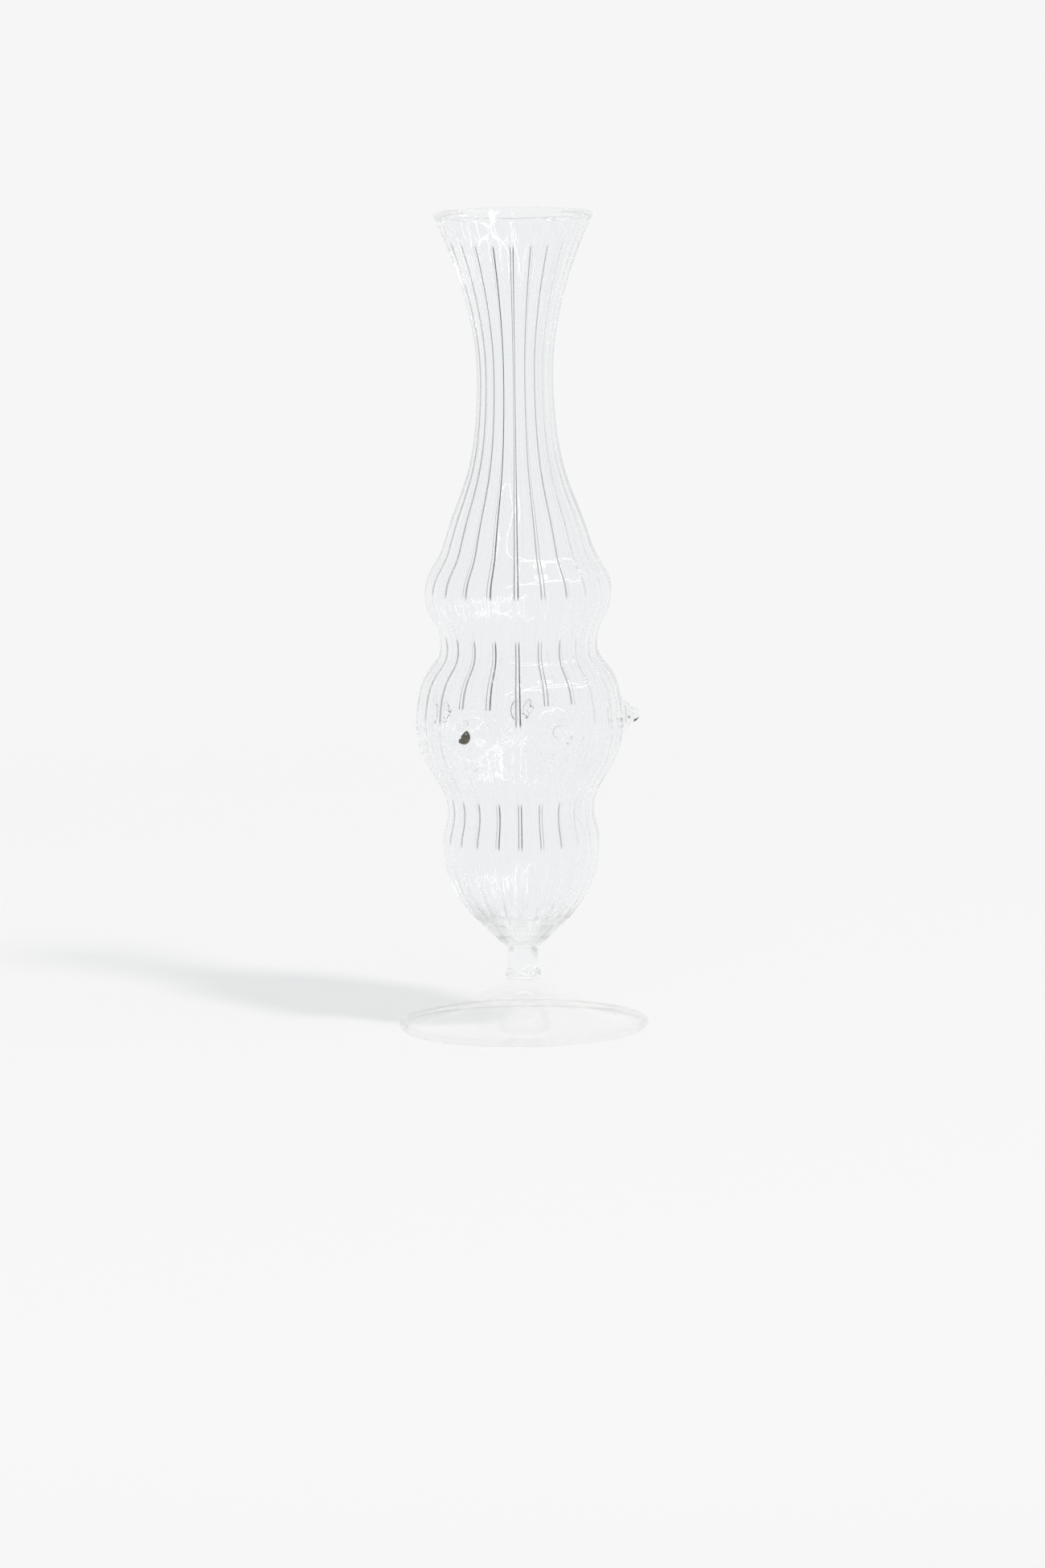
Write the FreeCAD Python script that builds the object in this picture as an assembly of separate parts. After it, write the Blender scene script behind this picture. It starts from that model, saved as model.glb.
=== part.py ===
import FreeCAD, Part

import math
import os

# A ribbed, lampworked glass vase on a short stem and a wide domed foot.
# Millimetres, +Z up. The origin is the middle of the foot's resting ring, on the table.
# Azimuths are in degrees: 0 is the front, towards -Y, and they grow towards +X.
# The pieces are fused hot, so each one meets the next on a small flat face.

# Foot: a thin dome that stands on a narrow flat ring.
FOOT_RADIUS = 41.25
FOOT_HEIGHT = 16.4
FOOT_WALL = 2.2
FOOT_CROWN_THICKNESS = 3.2
FOOT_RIM_THICKNESS = 2.6
FOOT_REST_WIDTH = 1.4
FOOT_SHOULDER_RADIUS = 7.2
FOOT_SHOULDER_DROP = 0.7
FOOT_SLOPE = 36.0
FOOT_BRIM_SLOPE = 5.0
FOOT_CROWN_SLOPE = 2.0

# Collar and stem: two solid rounds between the foot and the vessel.
COLLAR_RADIUS = 5.9
COLLAR_HEIGHT = 3.2
STEM_RADIUS = 5.3
STEM_HEIGHT = 7.5
JOINT_INSET = 1.1
JOINT_LEAN = 80.0

# Vessel: radii of its rings, and the rise from each ring to the next, from the seat up.
SEAT_RADIUS = 4.3
TAIL_RADIUS = 6.2
TAIL_RISE = 0.6
LOWER_BULGE_RADIUS = 25.4
LOWER_BULGE_RISE = 33.8
LOWER_WAIST_RADIUS = 23.7
LOWER_WAIST_RISE = 12.1
BELLY_RADIUS = 33.7
BELLY_RISE = 27.4
UPPER_WAIST_RADIUS = 25.4
UPPER_WAIST_RISE = 26.6
SHOULDER_RADIUS = 30.4
SHOULDER_RISE = 17.3
HIP_RADIUS = 24.0
HIP_RISE = 16.1
HIP_LEAN = -15.8
NECK_RADIUS = 12.0
NECK_RISE = 57.0
RIM_RADIUS = 26.3
RIM_RISE = 51.2
RIM_LEAN = 31.8
LIP_ROUND = 0.8
LIP_FLAT = 0.2
LIP_INNER_ROUND = 0.6
WALL = 1.5
FLOOR_THICKNESS = 6.5

# Ribs: fine ridges drawn out of the tube, from the tail to the lip.
RIB_COUNT = 22
RIB_HEIGHT = 0.7
RIB_SHARPNESS = 8
RIB_TAIL_FADE = 14.0
RIB_LIP_FADE = 7.0
RIB_AZIMUTH = -1.5
POLES_PER_RIB = 8

# Pulled points: hollow peaks drawn out of the belly, each closed by a solid drop.
POINT_LENGTH = 4.3
POINT_BASE_RADIUS = 10.2
POINT_BASE_SINK = 3.0
POINT_BASE_LEAN = -54.0
POINT_BASE_PULL = 0.33
POINT_TIP_RADIUS = 2.5
POINT_TIP_LEAN = -42.0
POINT_TIP_PULL = 0.33
POINT_WALL = 1.1
DROP_HEIGHT = 2.1
POINTS = {
    # name: (azimuth, height above the belly ring)
    "tip_bead_front_left": (-29.0, 0.6),
    "tip_bead_front_right": (19.6, 2.0),
    "tip_bead_right": (100.0, 2.0),
    "tip_bead_back": (176.5, 0.0),
    "tip_bead_back_left": (229.0, 0.8),
}

# Heights that follow from the stack.
COLLAR_Z = FOOT_HEIGHT
STEM_Z = COLLAR_Z + COLLAR_HEIGHT
VESSEL_Z = STEM_Z + STEM_HEIGHT
BELLY_Z = VESSEL_Z + TAIL_RISE + LOWER_BULGE_RISE + LOWER_WAIST_RISE + BELLY_RISE

# How finely the long curves are followed, and the pulls that make a quarter round:
# as a share of its straight distance, and of its width or height.
STEPS_PER_SPAN = 6
ROUND_PULL = 0.39
OVAL_PULL = 0.552

# The lean of a direction that points straight outwards.
LEVEL = 90.0


def vector(radius, height):
    """A point of a profile, drawn in the XZ plane."""
    return FreeCAD.Vector(radius, 0, height)


def heading(lean):
    """The direction of a profile that leans this many degrees outwards from straight up."""
    angle = math.radians(lean)
    return FreeCAD.Vector(math.sin(angle), 0, math.cos(angle))


def span(start, start_lean, start_pull, end, end_lean, end_pull):
    """A smooth curve between two points, with its direction set at both ends.

    The pulls say how far each end's direction holds, as shares of the straight distance."""
    reach = (end - start).Length
    first = start + heading(start_lean) * (start_pull * reach)
    second = end - heading(end_lean) * (end_pull * reach)
    curve = Part.BezierCurve()
    curve.setPoles([start, first, second, end])
    return curve


def smooth_through(curves):
    """One smooth curve through evenly spaced points of several joined curves."""
    points = [curves[0].value(0)]
    for curve in curves:
        for step in range(1, STEPS_PER_SPAN + 1):
            points.append(curve.value(step / STEPS_PER_SPAN))
    line = Part.BSplineCurve()
    line.interpolate(points)
    return line


def revolved(edges):
    """The solid that a closed outline in the XZ plane makes about the Z axis."""
    face = Part.Face(Part.Wire(edges))
    return face.revolve(FreeCAD.Vector(0, 0, 0), FreeCAD.Vector(0, 0, 1), 360)


def straight(start, end):
    return Part.LineSegment(start, end).toShape()


def vessel_rings():
    """Every ring of the vessel's outside as (radius, height, lean, pull below, pull above)."""
    rings = [
        (SEAT_RADIUS, 0.0, 78.0, 0.0, 0.35),
        (TAIL_RADIUS, TAIL_RISE, 45.0, 0.35, 0.365),
        (LOWER_BULGE_RADIUS, LOWER_BULGE_RISE, 0.0, 0.388, 0.5),
        (LOWER_WAIST_RADIUS, LOWER_WAIST_RISE, 0.0, 0.5, 0.312),
        (BELLY_RADIUS, BELLY_RISE, 0.0, 0.454, 0.777),
        (UPPER_WAIST_RADIUS, UPPER_WAIST_RISE, 0.0, 0.305, 0.469),
        (SHOULDER_RADIUS, SHOULDER_RISE, 0.0, 0.405, 0.433),
        (HIP_RADIUS, HIP_RISE, HIP_LEAN, 0.424, 0.323),
        (NECK_RADIUS, NECK_RISE, 0.0, 0.592, 0.302),
        (RIM_RADIUS, RIM_RISE, RIM_LEAN, 0.246, 0.45),
        (RIM_RADIUS - LIP_ROUND, LIP_ROUND, -LEVEL, 0.45, 0.0),
    ]
    height = VESSEL_Z
    placed = []
    for radius, rise, lean, below, above in rings:
        height += rise
        placed.append((radius, height, lean, below, above))
    return placed


def spans_between(rings):
    """The curves that join neighbouring rings."""
    curves = []
    for lower, upper in zip(rings, rings[1:]):
        curves.append(span(vector(lower[0], lower[1]), lower[2], lower[4],
                           vector(upper[0], upper[1]), upper[2], upper[3]))
    return curves


def rib_profile(turn):
    """How far a rib stands out at this share of the way from one rib to the next."""
    return math.cos(math.pi * turn) ** RIB_SHARPNESS


def rib_fade(height, top):
    """1 along most of the vessel, falling to 0 at its tail and its lip."""
    tail = (height - VESSEL_Z - TAIL_RISE) / RIB_TAIL_FADE
    lip = (top - LIP_ROUND - height) / RIB_LIP_FADE
    return max(0.0, min(1.0, tail, lip))


def ribbed_solid(rings):
    """The vessel's outside as a solid plug, with the ribs as waves of one smooth surface."""
    line = smooth_through(spans_between(rings))
    top = rings[-1][1]
    around = RIB_COUNT * POLES_PER_RIB
    poles = []
    for index in range(around):
        azimuth = math.radians(RIB_AZIMUTH - LEVEL) + 2 * math.pi * index / around
        height_share = rib_profile((index % POLES_PER_RIB) / POLES_PER_RIB)
        row = []
        for pole in line.getPoles():
            radius = pole.x + RIB_HEIGHT * height_share * rib_fade(pole.z, top)
            row.append(FreeCAD.Vector(radius * math.cos(azimuth), radius * math.sin(azimuth), pole.z))
        poles.append(row)
    surface = Part.BSplineSurface()
    surface.buildFromPolesMultsKnots(
        poles, [1] * (around + 1), line.getMultiplicities(),
        [float(knot) for knot in range(around + 1)], line.getKnots(),
        True, False, 3, line.Degree)
    side = surface.toShape()
    rims = [edge for edge in side.Edges if edge.BoundBox.ZLength < 0.01]
    ends = [Part.Face(Part.Wire([edge])) for edge in rims]
    shell = Part.makeShell([side] + ends)
    shell.sewShape()
    solid = Part.makeSolid(Part.Shell(shell.Faces))
    if solid.Volume < 0:
        solid.reverse()
    return solid


def hollow_solid(rings):
    """The space inside the vessel: the rings set in by the wall, closed by a round floor."""
    inner = [(0.0, VESSEL_Z + FLOOR_THICKNESS, LEVEL, 0.0, 0.38)]
    for radius, height, lean, below, above in rings[2:-1]:
        inward = heading(lean - LEVEL) * WALL
        inner.append((radius + inward.x, height + inward.z, lean, below, above))
    radius, height, lean, below, above = inner.pop()
    back = heading(lean) * LIP_INNER_ROUND
    inner.append((radius - back.x, height - back.z, lean, below, above))
    crest_radius, crest = rings[-1][:2]
    inner.append((crest_radius - LIP_FLAT, crest, 80.0, 0.45, 0.0))
    line = smooth_through(spans_between(inner))
    mouth = line.value(line.LastParameter)
    above = mouth + vector(0, WALL)
    floor = line.value(line.FirstParameter)
    return revolved([line.toShape(), straight(mouth, above),
                     straight(above, vector(0, above.z)), straight(vector(0, above.z), floor)])


def point_solid(sink, inset, tip_radius):
    """A pulled point about Z: solid, or with sink and inset the hollow inside it."""
    base = vector(POINT_BASE_RADIUS - inset, BELLY_RADIUS - POINT_BASE_SINK - sink)
    tip = vector(tip_radius, BELLY_RADIUS + POINT_LENGTH - sink)
    edges = [span(base, POINT_BASE_LEAN, POINT_BASE_PULL, tip, POINT_TIP_LEAN, POINT_TIP_PULL).toShape()]
    if tip_radius > 0:
        edges.append(straight(tip, vector(0, tip.z)))
    edges.append(straight(vector(0, tip.z), vector(0, base.z)))
    edges.append(straight(vector(0, base.z), base))
    return revolved(edges)


def outward(shape, azimuth, height):
    """Turns a shape made about Z so that its Z points out of the vessel, and sets its height."""
    placed = shape.copy()
    placed.rotate(FreeCAD.Vector(0, 0, 0), FreeCAD.Vector(1, 0, 0), LEVEL)
    placed.rotate(FreeCAD.Vector(0, 0, 0), FreeCAD.Vector(0, 0, 1), azimuth)
    placed.translate(FreeCAD.Vector(0, 0, BELLY_Z + height))
    return placed


def vessel():
    """The blown shell: ribbed outside, smooth inside, with its hollow pulled points."""
    rings = vessel_rings()
    outside = ribbed_solid(rings)
    inside = hollow_solid(rings)
    peak = point_solid(0.0, 0.0, POINT_TIP_RADIUS)
    cavity = point_solid(POINT_WALL, POINT_WALL, 0.0)
    peaks = [outward(peak, *place) for place in POINTS.values()]
    cavities = [outward(cavity, *place) for place in POINTS.values()]
    return outside.fuse(peaks).cut(inside.fuse(cavities))


def rounded_disc(bottom, height, radius, joint_radius):
    """A solid round with bulging sides that narrows to a flat joint at each end."""
    low = vector(joint_radius, bottom)
    high = vector(joint_radius, bottom + height)
    widest = vector(radius, bottom + height / 2)
    reach = (widest - low).Length
    across = OVAL_PULL * (radius - joint_radius) / reach
    upright = OVAL_PULL * (height / 2) / reach
    return revolved([
        straight(vector(0, low.z), low),
        span(low, JOINT_LEAN, across, widest, 0.0, upright).toShape(),
        span(widest, 0.0, upright, high, -JOINT_LEAN, across).toShape(),
        straight(high, vector(0, high.z)),
        straight(vector(0, high.z), vector(0, low.z)),
    ])


def stem():
    return rounded_disc(STEM_Z, STEM_HEIGHT, STEM_RADIUS, SEAT_RADIUS)


def stem_collar():
    return rounded_disc(COLLAR_Z, COLLAR_HEIGHT, COLLAR_RADIUS, COLLAR_RADIUS - JOINT_INSET)


def foot():
    """The domed foot: a wall of even thickness that runs out to a rounded rim."""
    joint = vector(COLLAR_RADIUS - JOINT_INSET, FOOT_HEIGHT)
    shoulder = vector(FOOT_SHOULDER_RADIUS, FOOT_HEIGHT - FOOT_SHOULDER_DROP)
    rim_half = FOOT_RIM_THICKNESS / 2
    brim = vector(FOOT_RADIUS - rim_half, FOOT_RIM_THICKNESS)
    nose = vector(FOOT_RADIUS, rim_half)
    rest = vector(brim.x, 0)
    heel = vector(rest.x - FOOT_REST_WIDTH, 0)
    apex = vector(0, FOOT_HEIGHT - FOOT_CROWN_THICKNESS)
    slope = LEVEL + FOOT_SLOPE
    brim_slope = LEVEL + FOOT_BRIM_SLOPE
    crown_slope = LEVEL + FOOT_CROWN_SLOPE
    dome = span(shoulder, slope, 0.337, brim, brim_slope, 0.342)
    below = [apex]
    for step in range(1, STEPS_PER_SPAN):
        share = step / STEPS_PER_SPAN
        tangent = dome.tangent(share)[0]
        below.append(dome.value(share) + FreeCAD.Vector(tangent.z, 0, -tangent.x) * FOOT_WALL)
    below.append(heel)
    underside = Part.BSplineCurve()
    underside.interpolate(below)
    edges = [
        straight(vector(0, FOOT_HEIGHT), joint),
        span(joint, crown_slope, 0.4, shoulder, slope, 0.3).toShape(),
        dome.toShape(),
        span(brim, brim_slope, ROUND_PULL, nose, 2 * LEVEL, ROUND_PULL).toShape(),
        span(nose, 2 * LEVEL, ROUND_PULL, rest, 3 * LEVEL, ROUND_PULL).toShape(),
        straight(rest, heel),
        underside.toShape(),
        straight(apex, vector(0, FOOT_HEIGHT)),
    ]
    return revolved(edges)


def drop(azimuth, height):
    """The solid drop that closes a pulled point: the cap of a ball, flat where it meets the point."""
    radius = (POINT_TIP_RADIUS ** 2 + DROP_HEIGHT ** 2) / (2 * DROP_HEIGHT)
    sunk = radius - DROP_HEIGHT
    centre = vector(0, BELLY_RADIUS + POINT_LENGTH - sunk)
    cut_angle = math.degrees(math.asin(sunk / radius))
    cap = Part.makeSphere(radius, centre, vector(0, 1), cut_angle, 90)
    return outward(cap, azimuth, height)


pieces = {
    "foot": foot(),
    "stem_collar": stem_collar(),
    "stem": stem(),
    "vessel": vessel(),
}
for name, place in POINTS.items():
    pieces[name] = drop(*place)

os.makedirs("parts", exist_ok=True)
for name, shape in pieces.items():
    shape.exportStep("parts/" + name + ".step")
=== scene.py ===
import math

import bpy
import numpy as np
from mathutils import Matrix, Vector

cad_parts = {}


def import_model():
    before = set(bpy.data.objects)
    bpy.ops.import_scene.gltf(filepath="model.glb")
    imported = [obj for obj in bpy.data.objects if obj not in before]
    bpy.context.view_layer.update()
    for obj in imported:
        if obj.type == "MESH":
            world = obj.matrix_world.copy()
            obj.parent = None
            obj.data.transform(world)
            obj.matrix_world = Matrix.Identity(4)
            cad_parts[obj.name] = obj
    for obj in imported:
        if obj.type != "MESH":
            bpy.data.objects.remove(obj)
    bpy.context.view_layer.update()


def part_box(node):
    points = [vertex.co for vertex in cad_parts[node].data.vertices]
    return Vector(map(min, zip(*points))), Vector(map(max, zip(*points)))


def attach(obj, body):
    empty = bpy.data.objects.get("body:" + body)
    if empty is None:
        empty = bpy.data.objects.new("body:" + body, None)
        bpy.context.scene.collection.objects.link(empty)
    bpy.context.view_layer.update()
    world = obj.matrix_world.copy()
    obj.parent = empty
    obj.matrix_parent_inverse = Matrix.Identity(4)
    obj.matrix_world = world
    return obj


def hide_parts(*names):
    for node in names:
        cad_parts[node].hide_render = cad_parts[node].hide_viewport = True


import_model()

MM = 0.001

# A ribbed, lampworked glass vase. Lengths are in millimetres and turn into metres when a mesh is made.
# Azimuths are in degrees: 0 is the front, towards -Y, and they grow towards +X.
# A lean is the direction of a profile in degrees: 0 is straight up and 90 is outwards. A pull is how
# far a curve follows it, as a share of the distance between the curve's ends.
DOWN = 180.0
INWARDS = 270.0

# Heights of the fused joints, read from the frame.
FOOT_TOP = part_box("foot")[1].z / MM
COLLAR_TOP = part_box("stem_collar")[1].z / MM
STEM_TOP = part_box("stem")[1].z / MM
FOOT_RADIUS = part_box("foot")[1].x / MM
COLLAR_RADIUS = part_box("stem_collar")[1].x / MM
STEM_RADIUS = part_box("stem")[1].x / MM

# Vessel: (radius, rise from the ring below, lean, pull below, pull above) of every ring of its outside.
SEAT_RADIUS = 4.3
BELLY_RADIUS = 33.7
RIM_RADIUS = 26.3
LIP_ROUND = 0.8
RINGS = [
    (SEAT_RADIUS, 0.0, 78.0, 0.0, 0.35),
    (6.2, 0.6, 45.0, 0.35, 0.365),
    (25.4, 33.8, 0.0, 0.388, 0.5),
    (23.7, 12.1, 0.0, 0.5, 0.312),
    (BELLY_RADIUS, 27.4, 0.0, 0.454, 0.777),
    (25.4, 26.6, 0.0, 0.305, 0.469),
    (30.4, 17.3, 0.0, 0.405, 0.433),
    (24.0, 16.1, -15.8, 0.424, 0.323),
    (12.0, 57.0, 0.0, 0.592, 0.302),
    (RIM_RADIUS, 51.2, 31.8, 0.246, 0.45),
    (RIM_RADIUS - LIP_ROUND, LIP_ROUND, -90.0, 0.45, 0.0),
]
BELLY_RING = 4
WALL = 1.5
FLOOR_THICKNESS = 6.5
LIP_INNER_ROUND = 0.6
LIP_FLAT = 0.2

# Ribs: narrow ridges between shallow hollow panels. The shares are of the way from one rib to the next.
# They fade in above the seat and out below the lip.
RIB_COUNT = 22
RIB_HEIGHT = 0.7
RIDGE_SHARE = 0.55
RIDGE_WIDTH = 0.08
RIDGE_POWER = 6
RIB_AZIMUTH = -1.5
RIB_TAIL_START = 0.6
RIB_TAIL_FADE = 14.0
RIB_LIP_FADE = 9.0
HALF_RIB = [0.035, 0.052, 0.064, 0.076, 0.088, 0.1, 0.12, 0.16, 0.25, 0.36]

# How far each rib lies astray, in degrees: a steady part and a drift along the height.
RIB_WANDER = 1.1
WANDER_STEADY = 0.75
WANDER_DRIFT = 0.35
WANDER_RATE = 0.021
WANDER_STEP = 2.399963
WANDER_SPREAD = 3.1
WANDER_START = 0.4

# The two sides of a rib carry fine dark lines of painted shade, for the dark that the ribbed glass shows
# there, between two shares, in zones of height that fade over LINE_END. The painted shade is darkest at
# the azimuth LINE_SHARPEST and opposite it, and a little uneven.
LINE_FROM = 0.05
LINE_TO = 0.09
LINE_ZONES = [(62.3, 78.2), (104.0, 132.0), (145.3, 261.0)]
LINE_END = 1.2
LINE_SHARPEST = -16.0
LINE_FAINTEST = 0.15
LINE_FADE_FROM = 0.35
LINE_FADE_SPAN = 0.5
LINE_EVEN = 0.82
LINE_UNEVEN = 0.18
LINE_UNEVEN_RATE = 0.9
LINE_SIDE_SHIFT = 1.3
LINE_CLEARANCE = 3

# Pulled points, each closed by a solid drop.
POINT_LENGTH = 4.3
POINT_BASE_RADIUS = 10.2
POINT_BASE_SINK = 3.0
POINT_BASE_LEAN = -54.0
POINT_TIP_RADIUS = 2.5
POINT_TIP_LEAN = -42.0
POINT_PULL = 0.33
POINT_BLEND = 2.6
POINT_WALL = 1.1
POINT_REACH = 9.0
POINT_MARGIN = 1.3
WALL_WINDOW = 3 * POINT_REACH
FAR_INSIDE = -1e3
POINT_CALM = 9.0
POINT_STILL = 4.0
HOLLOW_END = 1.2
HOLLOW_ROUND = 0.2
HOLLOW_CIRCLES = (2.2, 1.7, 1.2, 0.7, 0.3)
DROP_HEIGHT = 2.1
# On some drops one side is painted near-black, as shade on that side of the clear drop.
PAINTED_SHADE_SIDE = {
    # name: (middle of the side of painted shade in degrees up from the drop's right, half its width, inner
    # radius)
    "front_left": (-35.0, 95.0, 0.3),
    "right": (-90.0, 60.0, 1.2),
}
POINTS = {
    # name: (azimuth, height above the belly ring)
    "front_left": (-29.0, 0.6),
    "front_right": (19.6, 2.0),
    "right": (100.0, 2.0),
    "back": (176.5, 0.0),
    "back_left": (229.0, 0.8),
}

# A ring of painted shade at the end of a point's hollow, a dark line standing in for the shade at its
# edge.
RING_RADIUS = 2.9
RING_WIDTH = 0.26

# Foot. Its shoulder is (radius, drop below the top).
FOOT_WALL = 2.2
FOOT_CROWN_THICKNESS = 3.2
FOOT_RIM_THICKNESS = 2.6
FOOT_REST_WIDTH = 1.4
FOOT_SHOULDER = (7.2, 0.7)
FOOT_SLOPE = 36.0
FOOT_BRIM_SLOPE = 5.0
FOOT_DOME_PULLS = (0.337, 0.342)
FOOT_NECK_LEAN = 92.0
FOOT_NECK_PULLS = (0.4, 0.3)
FOOT_RIM_PULL = 0.39

# Flat faces where pieces are fused. ROUND_PULL makes a quarter of an ellipse.
JOINT_INSET = 1.1
JOINT_LEAN = 80.0
ROUND_PULL = 0.552

# Mesh fineness.
RIB_SHARES = np.array([-0.5] + [-share for share in HALF_RIB[::-1]] + [0.0] + HALF_RIB)
COLUMNS = RIB_COUNT * len(RIB_SHARES)
ROUND_STEPS = 144
RING_SPAN_STEPS = 6
PROFILE_POINTS = 6001
POINT_CURVE_STEPS = 80
ROUND_CURVE_STEPS = 14
FOOT_DOME_STEPS = 60
FOOT_KNOT_STEP = 10
FOOT_NECK_STEPS = 10
UNDERSIDE_POINTS = 61
DROP_STEPS = 24
PATCH_RINGS = 20
HOLLOW_PATCH_RINGS = 14

# Distance between rows, and where it is finer: round the belly, at the lip, the tail and the floor.
ROW_STEP = 0.8
INNER_ROW_STEP = ROW_STEP * 1.4
FINE_ROW_STEP = 0.16
BELLY_ROW_STEP = 0.6
INNER_BELLY_ROW_STEP = 0.8
TAIL_ROW_STEP = 0.25
FLOOR_ROW_STEP = 0.5
BELLY_ROWS_ABOVE = 1
BELLY_ROWS_HALF = 9
LIP_ROWS = 1.6
INNER_LIP_ROWS = 1.4
TAIL_ROWS = 2.0
FLOOR_ROWS = 3.0

# Material slots of a piece.
BODY_SLOT, JOINT_SLOT, PAINTED_SHADE_SLOT = 0, 1, 2

# Glass: (pale tint, deep tint, scale of its waves, depth of a wave, tint of its shadow).
CLEAR_GLASS = ((0.968, 0.977, 0.982), (0.950, 0.963, 0.970), 55.0, 0.5, (0.85, 0.862, 0.868))
FOOT_GLASS = ((0.998, 0.999, 0.997), (0.991, 0.995, 0.991), 60.0, 0.4, (0.997, 0.998, 0.997))
BEAD_GLASS = ((0.968, 0.977, 0.982), (0.950, 0.963, 0.970), 200.0, 0.1, (0.87, 0.88, 0.88))
# Near-black glass that paints shade on part of a drop.
PAINTED_SHADE_GLASS = ((0.02, 0.017, 0.011), (0.0, 0.0, 0.0), 900.0, 0.12, (0.7, 0.7, 0.7))
REFRACTION = 1.47
CLOUD_SCALE = 38.0
PAINTED_SHADE_SCALE = 1300.0
CLOUD_DETAIL = 2.0
WAVE_DETAIL = 1.0
WAVE_STRETCH = (1.0, 1.0, 0.35)
WAVE_STRENGTH = 0.07
HAZE_FROM = 0.55
HAZE_FULL = 0.85
HAZE_ROUGHNESS = 0.035
# Colour of the painted shade on the ribs' sides and round the points' hollows.
PAINTED_SHADE_COLOUR = (0.03, 0.032, 0.036)

# Bands where the glass is mixed with plain transparency: (from, to, share of it, its tint).
BAND_END = 0.5
TAIL_BAND = (STEM_TOP - 1.0, STEM_TOP + 9.0, 0.62, (0.992, 0.995, 0.997))
LIP_BAND_BELOW = 1.3
LIP_BAND_ABOVE = 1.0
LIP_BAND_LOOK = (0.72, (0.985, 0.99, 0.993))
DOME_BAND = (-1.0, FOOT_RADIUS - 2.8, 0.84, (1.0, 1.0, 1.0))
RIM_BAND = (FOOT_RADIUS - 2.4, FOOT_RADIUS + 1.0, 0.62, (0.958, 0.966, 0.955))

# Studio, with its lengths in metres.
BACKGROUND = 0.9216
SKY_LIGHT = 0.68
# Rise of the direction where the light starts to change and where it is done, and its level overhead.
THROUGH_GLASS = (0.3, 0.9, 0.86)
MIRRORED = (0.0, 0.2, 0.8)
FLOOR_RADIUS = 0.9
FLOOR_STEPS = 96
FLOOR_SINK = 0.0001
FLOOR_COLOUR = 0.86
FLOOR_FADE = (0.62, 0.98)
KEY_AZIMUTH = 44
KEY_ELEVATION = 50
KEY_STRENGTH = 1.3
KEY_ANGLE = 8
STRIP_AZIMUTH = 35
STRIP_ELEVATION = 43
STRIP_POWER = 46.0
STRIP_LENGTH = 10.0
STRIP_WIDTH = 0.12
STRIP_DISTANCE = 5.0
STRIP_AIM_HEIGHT = 0.12
LIGHT_BOUNCES = 32

# Camera, fitted to the outline. Its sensor is in millimetres and its roll in degrees.
CAMERA_DISTANCE = 2.65
CAMERA_HEIGHT = 0.455
CAMERA_LENS = 186.1
CAMERA_SENSOR = 36.0
CAMERA_ROLL = 0.79
CAMERA_AIM = (0.0006, 0.0, 0.0812)
CAMERA_CLIP = 60


def heading(lean):
    angle = math.radians(lean)
    return np.array([math.sin(angle), math.cos(angle)])


def span(start, start_lean, start_pull, end, end_lean, end_pull, steps):
    """Points of a smooth curve between two points of a profile, with its direction set at both ends."""
    start, end = np.array(start, float), np.array(end, float)
    reach = np.linalg.norm(end - start)
    first = start + heading(start_lean) * start_pull * reach
    second = end - heading(end_lean) * end_pull * reach
    t = np.linspace(0, 1, steps + 1)[:, None]
    return ((1 - t) ** 3 * start + 3 * (1 - t) ** 2 * t * first
            + 3 * (1 - t) * t ** 2 * second + t ** 3 * end)


def joined(curves):
    """Several runs of points as one, without the repeated ends."""
    return np.concatenate([curves[0]] + [curve[1:] for curve in curves[1:]])


def through(knots, count):
    """Evenly spaced points of a natural cubic spline through the knots, by distance along it."""
    along = np.concatenate([[0], np.cumsum(np.linalg.norm(np.diff(knots, axis=0), axis=1))])
    gap = np.diff(along)
    size = len(knots)
    matrix = np.eye(size)
    side = np.zeros((size, 2))
    for i in range(1, size - 1):
        matrix[i, i - 1:i + 2] = gap[i - 1], 2 * (gap[i - 1] + gap[i]), gap[i]
        side[i] = 6 * ((knots[i + 1] - knots[i]) / gap[i] - (knots[i] - knots[i - 1]) / gap[i - 1])
    bend = np.linalg.solve(matrix, side)
    place = np.linspace(0, along[-1], count)
    i = np.clip(np.searchsorted(along, place, side="right") - 1, 0, size - 2)
    h = gap[i][:, None]
    a = (along[i + 1] - place)[:, None] / h
    b = 1 - a
    return (a * knots[i] + b * knots[i + 1]
            + ((a ** 3 - a) * bend[i] + (b ** 3 - b) * bend[i + 1]) * h ** 2 / 6)


def placed_rings():
    height = STEM_TOP
    rings = []
    for radius, rise, lean, below, above in RINGS:
        height += rise
        rings.append((radius, height, lean, below, above))
    return rings


BELLY_HEIGHT = placed_rings()[BELLY_RING][1]


def curve_of(rings):
    """One smooth dense profile through the rings."""
    curves = [span(low[:2], low[2], low[4], high[:2], high[2], high[3], RING_SPAN_STEPS)
              for low, high in zip(rings, rings[1:])]
    return through(joined(curves), PROFILE_POINTS)


def outside_profile():
    return curve_of(placed_rings())


def inside_profile():
    rings = placed_rings()
    inner = [(0.0, STEM_TOP + FLOOR_THICKNESS, 90.0, 0.0, 0.38)]
    for radius, height, lean, below, above in rings[2:-1]:
        inward = heading(lean - 90) * WALL
        inner.append((radius + inward[0], height + inward[1], lean, below, above))
    radius, height, lean, below, above = inner.pop()
    back = heading(lean) * LIP_INNER_ROUND
    inner.append((radius - back[0], height - back[1], lean, below, above))
    crest_radius, crest = rings[-1][:2]
    inner.append((crest_radius - LIP_FLAT, crest, 80.0, 0.45, 0.0))
    return curve_of(inner)


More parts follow.
